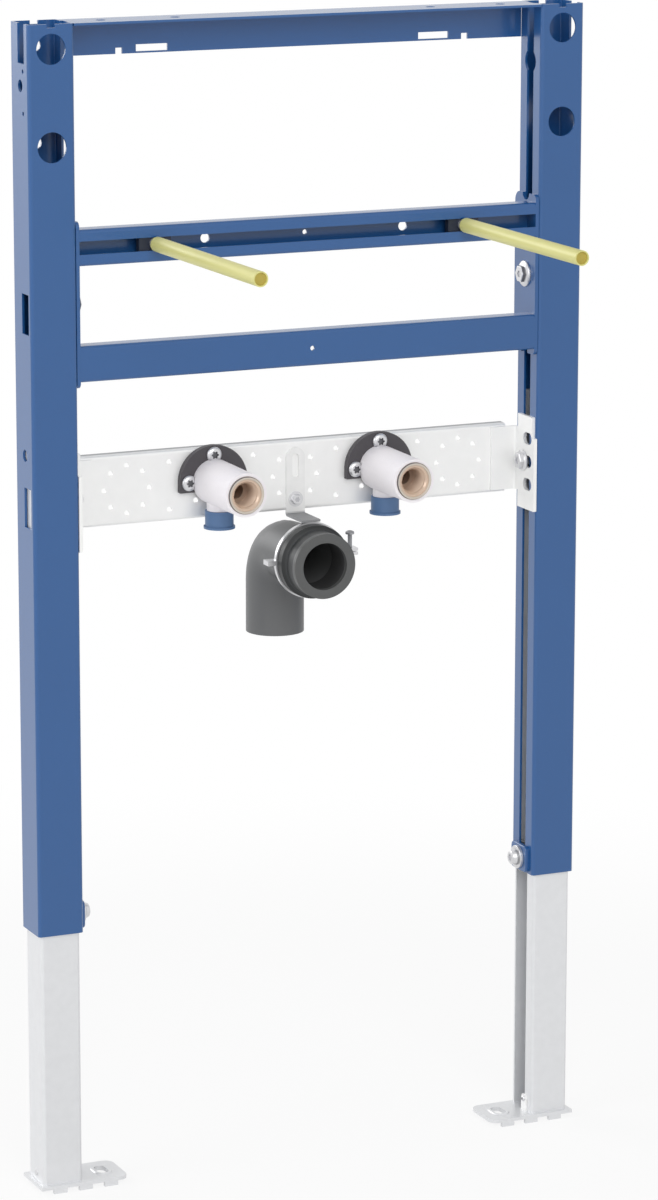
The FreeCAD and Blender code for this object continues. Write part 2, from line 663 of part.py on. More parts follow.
def plate_bracket(name, side):
    """A bent bracket: one side on the upright, the tongue on the front of the mounting plate."""
    low = plate_level - bracket_below
    high = low + bracket_height
    tip = section + bracket_tongue
    outline = [(across(side, u), y) for u, y in (
        (section, frame_front), (section + bracket_metal, frame_front),
        (section + bracket_metal, plate_face - bracket_metal), (tip, plate_face - bracket_metal),
        (tip, plate_face), (section, plate_face))]
    sheet = pad("XY_Plane", outline, low, bracket_height,
                ((bracket_bend, (5,)), (bracket_bend - bracket_metal, (2,))))
    lower = bracket_below - bracket_tongue_height / 2
    upper = bracket_height - bracket_below - bracket_tongue_height / 2
    trim_start = low_x(side, section - over, tip + over)
    trim_face = plate_face - bracket_bend - bracket_relief
    trim_wide = tip + over * 2 - section
    trim_deep = bracket_bend + bracket_relief + over
    tools = [box((trim_start, trim_face, low - over), (trim_wide, trim_deep, lower + over)),
             box((trim_start, trim_face, high - upper), (trim_wide, trim_deep, upper + over)),
             box((low_x(side, section - over, section + bracket_metal + over), frame_front - over,
                  high - bracket_step_height),
                 (bracket_metal + over * 2, bracket_step + over, bracket_step_height + over))]
    slot_x = low_x(side, section - over, section + bracket_metal + over)
    through = bracket_metal + over * 2
    straight = bracket_slot_long - bracket_slot
    slot_front = frame_front + bracket_edge - straight / 2
    for step in (-1, 0, 1):
        level = plate_level + bracket_pitch * step
        tools.append(box((slot_x, slot_front, level - bracket_slot / 2), (through, straight, bracket_slot)))
        for end in (slot_front, slot_front + straight):
            tools.append(rod((slot_x, end, level), "X", bracket_slot, through))
    tools.append(screw_hole(side, section, bracket_metal, plate_level))
    node(name + "_plate_bracket", cut(sheet, tools))
    node(name + "_bracket_screw", slot_screw(side, bracket_metal, plate_level, bracket_washer))
    return channel_nut(side, plate_level)


# Tap elbows on the plate

def tap_elbow(name, side):
    x = tap_span / 2 * side
    disc = rod((x, plate_face, tap_level), "-Y", tap_disc, tap_disc_thick)
    skirt = box((x - tap_disc / 2, tap_face, tap_level - tap_flat), (tap_disc, tap_disc_thick, tap_flat))
    flat = box((x - tap_disc, plate_face - tap_disc_thick - over, tap_level - tap_flat - tap_disc),
               (tap_disc * 2, tap_disc_thick + over * 2, tap_disc))
    node(name + "_tap_flange", fuse([cut(disc, [flat]), skirt]))
    long = tap_face - tap_tip
    supply_y = tap_face - supply_set
    spigot_low = tap_level - cap_low + cap_rim_high
    cap_top = tap_level - tap_back / 2 - cap_gap
    body = turned((x, tap_face, tap_level), "-Y", (
        (zero, zero), (tap_back / 2, zero), (tap_front / 2, long), (zero, long)))
    body_neck = rod((x, supply_y, tap_level), "-Z", neck, tap_level - cap_top - sleeve_gap)
    body_holes = [rod((x, tap_face + over, tap_level), "-Y", socket_out + sleeve_gap * 2, long + over * 2),
                  rod((x, supply_y, tap_level), "-Z", spigot + sleeve_gap * 2, tap_level - cap_top)]
    screw_places = [(x, tap_level + disc_screw_from)]
    for way in (-1, 1):
        screw_places.append((x + disc_screw_from * way, tap_level))
    for screw_x, screw_z in screw_places:
        body_holes.append(rod((screw_x, tap_face + over, screw_z), "-Y", disc_screw + screw_gap * 2,
                              disc_screw_high + screw_gap + over))
    node(name + "_tap_body", cut(fuse([body, body_neck]), body_holes))
    barrel = rod((x, tap_face, tap_level), "-Y", socket_out, long)
    pipe = rod((x, supply_y, tap_level), "-Z", spigot, tap_level - spigot_low)
    thread = rod((x, tap_tip - over, tap_level), "Y", socket_bore, socket_deep + over)
    mouth = turned((x, tap_tip, tap_level), "Y", (
        (zero, -over), (socket_mouth / 2, -over), (socket_mouth / 2, zero),
        (socket_bore / 2, socket_mouth_deep), (zero, socket_mouth_deep)))
    level_way = rod((x, tap_tip, tap_level), "Y", passage, long - supply_set)
    down_way = rod((x, supply_y, tap_level), "-Z", feed, tap_level - spigot_low + over)
    ways = [thread, mouth, level_way, down_way]
    node(name + "_tap_socket", cut(fuse([barrel, pipe]), ways))
    cap_bottom = tap_level - cap_low
    cap_high = cap_top - cap_bottom
    node(name + "_supply_cap", turned((x, supply_y, cap_bottom), "Z", (
        (zero, zero), (cap_rim / 2, zero), (cap_rim / 2, cap_rim_high), (cap_out / 2, cap_rim_high),
        (cap_out / 2, cap_high), (spigot / 2 + sleeve_gap, cap_high),
        (spigot / 2 + sleeve_gap, cap_rim_high), (zero, cap_rim_high))))
    heads = []
    for screw_x, screw_z in screw_places:
        heads.append(turned((screw_x, tap_face, screw_z), "-Y", (
            (zero, zero), (disc_screw / 2, zero), (disc_screw / 2, disc_screw_high / 2),
            (disc_screw_crown / 2, disc_screw_high), (zero, disc_screw_high))))
    node(name + "_flange_screws", fuse(heads))


# Drain bend: upright pipe behind the frame, a quarter bend, and a collared socket to the front

def pipe_run(diameter, past, inset):
    """The bend's solid run of one diameter, longer by a length below and shorter by an inset in front."""
    low = drain_level - drain_low
    bend_low = drain_level - drain_radius
    bend_front = drain_behind - drain_radius
    front = frame_front - drain_reach
    upright_pipe = rod((zero, drain_behind, low - past), "Z", diameter, bend_low - low + past)
    quarter = doc.addObject("Part::Torus", "quarter")
    bind(quarter, "Radius1", drain_radius)
    bind(quarter, "Radius2", diameter / 2)
    quarter.Angle3 = 90
    place(quarter, (zero, bend_front, bend_low))
    quarter.Placement.Rotation = FreeCAD.Rotation(FreeCAD.Vector(1, 1, 1), 120)
    level_pipe = rod((zero, bend_front, drain_level), "-Y", diameter, bend_front - front - inset)
    return fuse([upright_pipe, quarter, level_pipe])


def water_way():
    """The bend's bore, from past its lower end to the seat of the seal."""
    return pipe_run(drain_pipe - drain_wall * 2, over, drain_bore_deep - over)


def drain_bend():
    front = frame_front - drain_reach
    socket = turned((zero, front, drain_level), "Y", (
        (zero, zero), (drain_ring / 2, zero), (drain_ring / 2, drain_ring_long),
        (drain_collar / 2, drain_collar_set), (drain_collar / 2, drain_collar_end), (zero, drain_collar_end)))
    outside = fuse([pipe_run(drain_pipe, zero, zero), socket])
    mouth = rod((zero, front - over, drain_level), "Y", seal_bore, seal_set + over * 2)
    seat = rod((zero, front + seal_set, drain_level), "Y", drain_bore, drain_bore_deep - seal_set)
    node("drain_bend", cut(outside, [water_way(), mouth, seat]))
    seal = rod((zero, front + seal_set, drain_level), "Y", drain_bore, seal_long)
    way = rod((zero, front + seal_set - over, drain_level), "Y", seal_bore, seal_long + over * 2)
    node("drain_seal", cut(seal, [way]))


# Pipe clamp behind the collar: a ring open on the right with a screw through its ears and a hook on the left,
# and the slotted arm from the plate to its top

def drain_clamp():
    start = frame_front - drain_reach + drain_collar_end + band_gap
    reach = band / 2 + ear_reach
    hook = band / 2 + hook_reach
    ear_level = drain_level + ear_rise
    ring = rod((zero, start, drain_level), "Y", band, band_wide)
    ears = box((zero, start, ear_level - ear_half), (reach, ear_deep, ear_half * 2))
    hook_bar = box((-hook, start, drain_level - hook_half), (hook, ear_deep, hook_half * 2))
    pipe_hole = rod((zero, start - over, drain_level), "Y", drain_pipe + band_gap * 2, ear_deep + over * 2)
    split = box((zero, start - over, ear_level - ear_gap / 2), (reach + over, ear_deep + over * 2, ear_gap))
    at = (band / 2 + ear_reach / 2, start + ear_deep / 2, ear_level)
    screw_way = rod((at[0], at[1], ear_level - ear_half - over), "Z", clamp_screw + screw_gap * 2,
                    (ear_half + over) * 2)
    head_low = ear_half + clamp_screw_long
    ear_screw = turned(at, "Z", (
        (zero, -ear_half), (clamp_screw / 2, -ear_half), (clamp_screw / 2, head_low),
        (clamp_screw_head / 2, head_low), (clamp_screw_head / 2, head_low + clamp_screw_high),
        (zero, head_low + clamp_screw_high)))
    node("drain_clamp", cut(fuse([ring, ears, hook_bar]), [pipe_hole, split, screw_way]))
    node("drain_clamp_screws", fuse([arm_screw(), ear_screw]))
    drain_arm(start)


def arm_screw():
    """The screw that holds the arm in the lowest hole of the plate's middle ring."""
    at = (zero, plate_face - metal, plate_level - punch_ring / 2)
    return screw(at, "-Y", metal * 2, shank=punch - screw_gap * 2, head=arm_screw_head,
                 head_high=arm_screw_high, ring=arm_washer, ring_thick=washer_thick / 2)


def drain_arm(start):
    low = drain_level + band / 2
    shoulder = plate_level - plate_height / 2 + arm_rise - arm_wide / 2
    face = plate_face - metal
    outline = [(start, low), (plate_face, low), (plate_face, shoulder), (face, shoulder), (face, low + metal),
               (start, low + metal)]
    strap = pad("YZ_Plane", outline, -(arm_wide / 2), arm_wide, ((bend, (1,)), (bend - metal, (4,))))
    crown = rod((zero, plate_face, shoulder), "-Y", arm_wide, metal)
    through = metal + over * 2
    slot_top = shoulder
    slot_low = shoulder - (arm_slot_long - arm_slot)
    tools = [box((-(arm_slot / 2), face - over, slot_low), (arm_slot, through, slot_top - slot_low)),
             rod((zero, face - over, slot_top), "Y", arm_slot, through),
             rod((zero, face - over, slot_low), "Y", arm_slot, through),
             rod((zero, face - over, plate_level - punch_ring / 2), "Y", punch, through)]
    node("drain_arm", cut(fuse([strap, crown]), tools))


for side_name, side_sign in SIDES:
    upright(side_name, side_sign)
    leg(side_name, side_sign)
    foot_plate(side_name, side_sign)
    clamp_nut = leg_clamp(side_name, side_sign)
    joint_nut = joint_plate(side_name, side_sign)
    bracket_nut = plate_bracket(side_name, side_sign)
    node(side_name + "_channel_nuts", fuse([clamp_nut, joint_nut, bracket_nut]))
    basin_stud(side_name, side_sign)
    tap_elbow(side_name, side_sign)
top_rail()
basin_rail()
lower_rail()
mounting_plate()
drain_bend()
drain_clamp()
doc.recompute()

# Every object is sound before anything is written
for item in doc.Objects:
    if {"Invalid", "Error"} & set(item.State):
        raise RuntimeError("%s (%s) failed: %s" % (item.Name, item.Label, item.State))
for item in nodes:
    if item.Shape.isNull() or not item.Shape.isValid():
        raise RuntimeError("%s has no valid shape" % item.Label)

os.makedirs("parts", exist_ok=True)
for item in nodes:
    item.Shape.exportStep("parts/%s.step" % item.Label)
    box_of = item.Shape.BoundBox
    print("%-22s solids %d volume %9.0f  x %7.1f %7.1f  y %7.1f %7.1f  z %7.1f %7.1f" % (
        item.Label, len(item.Shape.Solids), item.Shape.Volume, box_of.XMin, box_of.XMax,
        box_of.YMin, box_of.YMax, box_of.ZMin, box_of.ZMax))
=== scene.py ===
import json
import math
from collections import namedtuple

import bmesh
import bpy
from mathutils import Matrix, Quaternion, Vector


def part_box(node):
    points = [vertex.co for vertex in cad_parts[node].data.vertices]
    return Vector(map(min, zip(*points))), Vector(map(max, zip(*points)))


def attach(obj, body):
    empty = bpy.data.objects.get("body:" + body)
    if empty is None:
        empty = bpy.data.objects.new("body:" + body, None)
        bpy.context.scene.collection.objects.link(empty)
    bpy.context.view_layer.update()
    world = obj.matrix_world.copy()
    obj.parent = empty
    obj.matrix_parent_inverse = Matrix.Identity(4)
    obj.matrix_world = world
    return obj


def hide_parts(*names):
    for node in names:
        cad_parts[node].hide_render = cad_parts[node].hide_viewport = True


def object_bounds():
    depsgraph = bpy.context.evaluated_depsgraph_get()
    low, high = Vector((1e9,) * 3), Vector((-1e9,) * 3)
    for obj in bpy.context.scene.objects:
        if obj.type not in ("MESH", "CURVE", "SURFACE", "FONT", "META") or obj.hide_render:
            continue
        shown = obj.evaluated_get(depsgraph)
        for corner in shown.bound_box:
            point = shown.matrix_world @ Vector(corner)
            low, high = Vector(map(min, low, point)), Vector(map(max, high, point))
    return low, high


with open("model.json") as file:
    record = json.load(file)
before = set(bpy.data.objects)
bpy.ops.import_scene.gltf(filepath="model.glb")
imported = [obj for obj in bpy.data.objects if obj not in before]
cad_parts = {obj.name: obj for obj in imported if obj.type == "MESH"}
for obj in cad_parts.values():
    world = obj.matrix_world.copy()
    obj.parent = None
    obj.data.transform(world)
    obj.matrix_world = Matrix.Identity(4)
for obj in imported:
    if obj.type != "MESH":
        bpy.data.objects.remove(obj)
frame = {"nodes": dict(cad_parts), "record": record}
cad_low, cad_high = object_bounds()
scene = bpy.context.scene

MM = 0.001
Recess = namedtuple("Recess", "outer inner depth")

# The two sides, with the sign of X that points out of the frame there
SIDES = {"left": -1, "right": 1}

# The photograph's view, worked out from the frame's edges; the sensor and the lens are in millimetres
CAMERA_PLACE = Vector((-1.547, -3.485, 0.359))
CAMERA_HEADING = math.radians(24.387)
CAMERA_FALL = math.radians(12.484)
CAMERA_ROLL = math.radians(0.063)
SENSOR = 36.0
LENS = 137.7

# Light: each lamp's place, width and power, the spot that all of them face, and the light of the surround
LAMPS = {
    "key": ((-0.8, -3.8, 1.6), 2.6, 62),
    "side": ((-3.8, -0.6, 1.0), 2.6, 42),
    "rim": ((-1.8, 3.2, 0.8), 2.4, 40),
}
LAMP_AIM = Vector((0, 0, -0.4))
FILL_STRENGTH = 0.5
WHITE = (1.0, 1.0, 1.0, 1.0)

# Floor: its height, half its width, and its own white, whose share is FLOOR_SHARE up to FLOOR_NEAR from the
# middle and rises to 1 at FLOOR_FAR; the rest of it is lit by the lamps
FLOOR = cad_low.z
FLOOR_HALF = 6.0
FLOOR_NEAR = 0.55
FLOOR_FAR = 1.25
FLOOR_SHARE = 0.86
FLOOR_COLOUR = (0.9, 0.9, 0.9, 1.0)

# How fine the meshes are, which of their folds stay sharp, and how the folded metal's edges are softened
RING_STEPS = 48
THREAD_STEPS = 36
BEND_STEPS = 24
TAB_STEPS = 12
SHARP_FOLD = math.radians(32)
EDGE_SOFT = 0.3 * MM
EDGE_SEGMENTS = 2
EDGE_FOLD = math.radians(50)

COAT_ROUGHNESS = 0.15
MOTTLE_DETAIL = 4.0
GRAIN_DETAIL = 2.0
GRAIN_HIGH = 0.1 * MM
FINISHES = {
    "frame_blue": dict(colour=(30, 86, 146), roughness=0.32, coat=0.5, mottle=0.03, mottle_scale=9,
                       grain=0.2, grain_scale=1500),
    "galvanised": dict(colour=(228, 229, 231), roughness=0.4, metallic=0.4, mottle=0.04, mottle_scale=140,
                       grain=0.15, grain_scale=260),
    "plate_zinc": dict(colour=(248, 248, 247), roughness=0.42, metallic=0.3, mottle=0.03, mottle_scale=90,
                       grain=0.12, grain_scale=260),
    # The arm's zinc; make_materials darkens its flat end as painted shade
    "arm_zinc_painted_shade": dict(colour=(240, 240, 239), roughness=0.42, metallic=0.3, mottle=0.04, mottle_scale=140),
    "zinc_screws": dict(colour=(216, 216, 218), roughness=0.28, metallic=0.7, mottle=0.04),
    "screw_grey": dict(colour=(160, 161, 164), roughness=0.34, metallic=0.6, mottle=0.05),
    # Painted shade: a paler one in the recesses of the frame and arm screws, and a darker one in other
    # recesses, on the joint bolts' flanks and on the tap rings' outer flank
    "recess_pale_shade": dict(colour=(200, 200, 204), roughness=0.5, metallic=0.2, mottle=0.04),
    "recess_shade": dict(colour=(108, 108, 112), roughness=0.5, metallic=0.4, mottle=0.05),
    # Painted shade: the stud nuts dark like the shade in the rail's channel
    "nut_painted_shade": dict(colour=(40, 46, 62), roughness=0.45, metallic=0.3, mottle=0.1, mottle_scale=200),
    "flange_grey": dict(colour=(72, 69, 73), roughness=0.55, grain=0.3),
    "insulation_white": dict(colour=(250, 246, 249), roughness=0.7, mottle=0.03, mottle_scale=500,
                             grain=0.6, grain_scale=420),
    "gunmetal": dict(colour=(214, 190, 170), roughness=0.3, metallic=0.35, mottle=0.05, mottle_scale=200),
    "ring_beige": dict(colour=(206, 196, 184), roughness=0.35, metallic=0.3, mottle=0.05, mottle_scale=200),
    "cap_blue": dict(colour=(86, 118, 160), roughness=0.45, grain=0.15),
    # The drain's grey; make_materials adds painted shade on its socket behind the lip
    "drain_grey": dict(colour=(106, 107, 108), roughness=0.42, specular=0.4, grain=0.08),
    "seal_black": dict(colour=(64, 64, 65), roughness=0.6, grain=0.3),
    "sleeve_yellow": dict(colour=(220, 216, 138), roughness=0.4, mottle=0.03, mottle_scale=40),
    # Painted shade: a darker ochre for the web in the sleeves' bores
    "shaded_sleeve_end": dict(colour=(186, 168, 76), roughness=0.6, mottle=0.06, mottle_scale=300),
}
# The mounting plate's finish; make_materials darkens its top fold as painted shade
FINISHES["plate_fold"] = FINISHES["plate_zinc"]

# Tones that a finish takes on along an axis: display colours, and the lengths over which they come in
LIP_TONE = (89, 90, 90)
LIP_FADE = 1.0 * MM
# Painted shade: the drain socket behind its lip, and its collar darker still
SOCKET_PAINTED_SHADE = (52, 54, 55)
SOCKET_FADE = 2.0 * MM
COLLAR_PAINTED_SHADE = (36, 38, 39)
COLLAR_FADE = 1.0 * MM
# Painted shade on the plate's top fold
FOLD_PAINTED_SHADE = (150, 151, 154)
FOLD_START = 2.0 * MM
FOLD_FULL = 6.0 * MM
# Painted shade on the arm's flat end
ARM_PAINTED_SHADE = (150, 151, 153)
ARM_FADE = 2.0 * MM

# Nodes that have another finish than their material slot; the arm's, the plate's and the stud nuts' finishes
# carry painted shade
OWN_FINISHES = {
    "drain_arm": "arm_zinc_painted_shade",
    "mounting_plate": "plate_fold",
    **{side + "_plate_bracket": "plate_zinc" for side in SIDES},
    **{side + "_stud_nut": "nut_painted_shade" for side in SIDES},
}

# Screws of the frame; a screw's finishes are numbered from its body (0). The recess finish is painted shade,
# and so is the flank finish of the joint bolts and clamp screws.
RECESS_FINISH = 1
FLANK_FINISH = 2
BOLT_RADIUS = 4.0 * MM
WASHER_THICK = 1.6 * MM
WASHER_SOFT = 0.3 * MM
HEAD_HIGH = 4.5 * MM
HEX_FLATS = 13.0 * MM
HEX_TOP_FLATS = 11.8 * MM
HEX_CHAMFER_HIGH = 0.5 * MM
FLANGE_TOP_RADIUS = 8.0 * MM
FLANGE_RISE = 1.5 * MM
FRAME_RECESS = Recess(3.3 * MM, 2.4 * MM, 0.8 * MM)

# Leg clamps and their screws, as the photograph shows them
CLAMP_WIDE = 28.0 * MM
CLAMP_TALL = 23.5 * MM
CLAMP_THICK = 3.7 * MM
CLAMP_ROUND = 4.0 * MM
CLAMP_SOFT = 0.5 * MM
CLAMP_HOLE_PLAY = 0.5 * MM
CLAMP_WASHER_RADIUS = 10.2 * MM
CLAMP_WASHER_THICK = 2.8 * MM
BUTTON_RADIUS = 7.0 * MM
BUTTON_FLANK = 1.4 * MM
BUTTON_DOME = ((0.95 * BUTTON_RADIUS, 2.8 * MM), (0.84 * BUTTON_RADIUS, 4.7 * MM),
               (0.7 * BUTTON_RADIUS, 5.3 * MM))

# Pan heads on the tap flanges; a profile is the radius and height of each ring
PAN_RADIUS = 6.6 * MM
PAN_PROFILE = ((0.94 * PAN_RADIUS, 0), (PAN_RADIUS, 0.4 * MM), (PAN_RADIUS, 1.2 * MM),
               (0.9 * PAN_RADIUS, 2.2 * MM), (0.66 * PAN_RADIUS, 3.0 * MM))
PAN_RECESS = Recess(3.4 * MM, 2.3 * MM, 2.0 * MM)

# Screw of the drain arm
ARM_FINISH = 2
ARM_RECESS_FINISH = 3
ARM_SHEET = 2.0 * MM
ARM_WASHER_RADIUS = 6.5 * MM
ARM_WASHER_THICK = 0.8 * MM
ARM_HEAD_HIGH = 3.0 * MM
ARM_HEX_FLATS = 8.0 * MM
ARM_HEX_CHAMFER_HIGH = 0.6 * MM
ARM_TOP_RADIUS = 3.7 * MM
ARM_RECESS = Recess(2.2 * MM, 1.6 * MM, 0.7 * MM)

# Screw through the ears of the pipe clamp
EAR_SCREW_RADIUS = 2.0 * MM
EAR_SCREW_HIGH = 20.0 * MM
EAR_CORE_RADIUS = 0.86 * EAR_SCREW_RADIUS
EAR_TIP_RADIUS = 0.8 * EAR_CORE_RADIUS
EAR_TIP_HIGH = 0.4 * MM
EAR_HEAD_RADIUS = 3.75 * MM
EAR_HEAD_HIGH = 2.5 * MM
EAR_TOP_RADIUS = 0.72 * EAR_HEAD_RADIUS
EAR_CHAMFER_HIGH = 0.9 * MM
EAR_RECESS = Recess(2.0 * MM, 1.4 * MM, 1.5 * MM)
EAR_THREAD_ROOT = 0.98 * EAR_CORE_RADIUS
EAR_THREAD_PITCH = 1.0 * MM

# Threads: half the width of a ridge at its root, as a share of the pitch
RIDGE_HALF = 0.42

# Tap sockets and the rings at their ends
SOCKET_RADIUS = 15.8 * MM
SOCKET_BORE_RADIUS = 10.45 * MM
SOCKET_MOUTH = 1.5 * MM
SOCKET_THREAD = 20.5 * MM
SOCKET_THREAD_ROOT = SOCKET_BORE_RADIUS + 0.1 * MM
SOCKET_THREAD_CREST = SOCKET_BORE_RADIUS - 0.7 * MM
SOCKET_THREAD_PITCH = 1.814 * MM
END_RING_RADIUS = SOCKET_RADIUS - 0.1 * MM
END_RING_WIDE = 2.2 * MM
END_RING_SUNK = 0.2 * MM
END_RING_PROUD = 1.6 * MM
END_RING_ROUND = 0.4 * MM
# The ring's outer flank takes a painted shade
END_RING_SHADE_FINISH = 1

# Webs in the ends of the stud sleeves, darker ochre as painted shade inside the bore
STUD_BORE_RADIUS = 5.2 * MM
SLEEVE_WEB_IN = 1.6 * MM
SLEEVE_WEB_THICK = 1.2 * MM

# Drain: pipe and bend, the socket's lip, collar and length from its front, and the band with its lining
PIPE_RADIUS = 25.0 * MM
BEND_RADIUS = 31.0 * MM
DRAIN_LIP_LONG = 4.0 * MM
DRAIN_COLLAR_IN = 17.5 * MM
DRAIN_SOCKET_LONG = 28.6 * MM
BAND_WIDE = 4.0 * MM
LINING_PLAY = 0.05 * MM
LINING_THICK = 3.0 * MM
LINING_PAST = 1.4 * MM
LINING_CHAMFER = 0.5 * MM

# Mould seam of the drain bend
SEAM_HALF = 0.5 * MM
SEAM_TOP_HALF = 0.25 * MM
SEAM_SUNK = 0.2 * MM
SEAM_PROUD = 0.25 * MM
SEAM_END = 1.0 * MM

# Feet: the rim of the floor screw slot, the tab on the leg's slot side with its screw, and the rivet
FOOT_SLOT_WIDE = 10.0 * MM
FOOT_SLOT_LONG = 18.0 * MM
FOOT_SLOT_IN = 17.0 * MM
RIM_TOP_WIDE = 2.2 * MM
RIM_WIDE = 3.2 * MM
RIM_PROUD = 0.8 * MM
RIM_SUNK = 0.2 * MM
LEG_LIP = 12.0 * MM
TAB_RADIUS = 4.5 * MM
TAB_ROUND_RISE = 10.5 * MM
TAB_THICK = 1.5 * MM
TAB_PAST = 4.5 * MM
TAB_SCREW_PROFILE = ((2.6 * MM, 0), (2.6 * MM, 0.7 * MM), (2.0 * MM, 1.3 * MM))
TAB_RECESS = Recess(1.4 * MM, 1.0 * MM, 0.8 * MM)
RIVET_RISE = 7.0 * MM
RIVET_PROFILE = ((3.0 * MM, 0), (3.0 * MM, 0.4 * MM), (2.2 * MM, 1.0 * MM), (1.0 * MM, 1.2 * MM))

# Turns that lay a plate's width along Y and its height along Z, with its thickness along +X (1) or -X (-1)
LIES_ACROSS = {
    1: Matrix(((0, 0, 1, 0), (1, 0, 0, 0), (0, 1, 0, 0), (0, 0, 0, 1))),
    -1: Matrix(((0, 0, -1, 0), (-1, 0, 0, 0), (0, 1, 0, 0), (0, 0, 0, 1))),
}


# Materials

def srgb(red, green, blue):
    """A linear colour from 0 to 255 display values."""
    def linear(value):
        value = value / 255
        return value / 12.92 if value <= 0.04045 else ((value + 0.055) / 1.055) ** 2.4
    return (linear(red), linear(green), linear(blue), 1.0)


def noise(tree, scale, detail):
    """A cloudy pattern that sits still on the object."""
    texture = tree.nodes.new("ShaderNodeTexNoise")
    texture.inputs["Scale"].default_value = scale
    texture.inputs["Detail"].default_value = detail
    place = tree.nodes.new("ShaderNodeTexCoord")
    tree.links.new(place.outputs["Object"], texture.inputs["Vector"])
    return texture.outputs["Fac"]


def feed(tree, socket, value):
    """Give a socket its value: another socket, or a constant."""
    if isinstance(value, bpy.types.NodeSocket):
        tree.links.new(value, socket)
    else:
        socket.default_value = value


def combine(tree, operation, first, second):
    """The result of a Math node on two values."""
    node = tree.nodes.new("ShaderNodeMath")
    node.operation = operation
    feed(tree, node.inputs[0], first)
    feed(tree, node.inputs[1], second)
    return node.outputs[0]


def mix_colours(tree, share, first, second):
    """The result of a Mix node: the second colour by a share, and the first for the rest."""
    node = tree.nodes.new("ShaderNodeMix")
    node.data_type = "RGBA"
    feed(tree, node.inputs["Factor"], share)
    feed(tree, node.inputs["A"], first)
    feed(tree, node.inputs["B"], second)
    return node.outputs["Result"]


def finish(name, colour, roughness, metallic=0.0, coat=0.0, specular=0.5, mottle=0.0, mottle_scale=60.0,
           grain=0.0, grain_scale=900.0):
    """A procedural finish: an even colour, cloudy by a share (mottle), with a fine raised grain."""
    material = bpy.data.materials.new(name)
    material.use_nodes = True
    tree = material.node_tree
    shader = tree.nodes["Principled BSDF"]
    colour = srgb(*colour)
    shader.inputs["Base Color"].default_value = colour
    shader.inputs["Roughness"].default_value = roughness
    shader.inputs["Metallic"].default_value = metallic
    shader.inputs["Coat Weight"].default_value = coat
    shader.inputs["Coat Roughness"].default_value = COAT_ROUGHNESS
    shader.inputs["Specular IOR Level"].default_value = specular
    if mottle:
        darker = tuple(value * (1 - mottle) for value in colour[:3]) + (1.0,)
        lighter = tuple(min(1.0, value * (1 + mottle)) for value in colour[:3]) + (1.0,)
        clouds = noise(tree, mottle_scale, MOTTLE_DETAIL)
        tree.links.new(mix_colours(tree, clouds, darker, lighter), shader.inputs["Base Color"])
    if grain:
        bump = tree.nodes.new("ShaderNodeBump")
        bump.inputs["Strength"].default_value = grain
        bump.inputs["Distance"].default_value = GRAIN_HIGH
        tree.links.new(noise(tree, grain_scale, GRAIN_DETAIL), bump.inputs["Height"])
        tree.links.new(bump.outputs["Normal"], shader.inputs["Normal"])
    return material


def tone_along(material, axis, start, full, tone, end=math.inf):
    """Change a finish to another colour along an axis: from start, wholly from full, up to end."""
    tree = material.node_tree
    base = tree.nodes["Principled BSDF"].inputs["Base Color"]
    place = tree.nodes.new("ShaderNodeTexCoord")
    axes = tree.nodes.new("ShaderNodeSeparateXYZ")
    tree.links.new(place.outputs["Object"], axes.inputs[0])
    ramp = tree.nodes.new("ShaderNodeMapRange")
    ramp.inputs["From Min"].default_value = start
    ramp.inputs["From Max"].default_value = full
    tree.links.new(axes.outputs[axis], ramp.inputs["Value"])
    share = ramp.outputs["Result"]
    if end < math.inf:
        share = combine(tree, "MULTIPLY", share, combine(tree, "LESS_THAN", axes.outputs[axis], end))
    plain = base.links[0].from_socket if base.is_linked else base.default_value
    tree.links.new(mix_colours(tree, share, plain, srgb(*tone)), base)


def make_materials():
    """All finishes by name, with the lip's grey and the painted shade on the drain's socket, and painted
    shade on the plate's folds and the arm's end.
    """
    finishes = {name: finish(name, **look) for name, look in FINISHES.items()}
    drain = finishes["drain_grey"]
    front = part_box("drain_bend")[0].y
    lip = front + DRAIN_LIP_LONG
    collar = front + DRAIN_COLLAR_IN
    back = front + DRAIN_SOCKET_LONG
    # Painted shade: the socket behind the lip, and its collar darker still
    tone_along(drain, "Y", lip, lip - LIP_FADE, LIP_TONE)
    tone_along(drain, "Y", lip, lip + SOCKET_FADE, SOCKET_PAINTED_SHADE, back)
    tone_along(drain, "Y", collar, collar + COLLAR_FADE, COLLAR_PAINTED_SHADE, back)
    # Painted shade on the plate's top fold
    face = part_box("mounting_plate")[0].y
    tone_along(finishes["plate_fold"], "Y", face + FOLD_START, face + FOLD_FULL, FOLD_PAINTED_SHADE)
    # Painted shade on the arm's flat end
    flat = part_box("drain_arm")[0].z + ARM_SHEET
    tone_along(finishes["arm_zinc_painted_shade"], "Z", flat + ARM_FADE, flat, ARM_PAINTED_SHADE)
    return finishes


def dress_solids():
    """A material on every node, and softened edges on the folded metal."""
    for row in frame["record"]["subparts"]:
        node = frame["nodes"][row["node"]]
        node.data.materials.clear()
        node.data.materials.append(MATERIALS[OWN_FINISHES.get(row["node"], row["material_slot"])])
        if row["material_slot"] in ("frame_blue", "galvanised"):
            soft = node.modifiers.new("soft_edges", "BEVEL")
            soft.width = EDGE_SOFT
            soft.segments = EDGE_SEGMENTS
            soft.limit_method = "ANGLE"
            soft.angle_limit = EDGE_FOLD


# Outlines, as the reach from the middle at an angle

def circle(radius):
    """The outline of a circle."""
    return lambda angle: radius


def hexagon(across_flats):
    """The outline of a hexagon, from its width across the flats."""
    sixth = math.pi / 3
    return lambda angle: across_flats / 2 / math.cos((angle % sixth) - sixth / 2)


def lobes(outer, inner):
    """The outline of a six-lobe recess."""
    return lambda angle: (outer + inner) / 2 + (outer - inner) / 2 * math.cos(6 * angle)


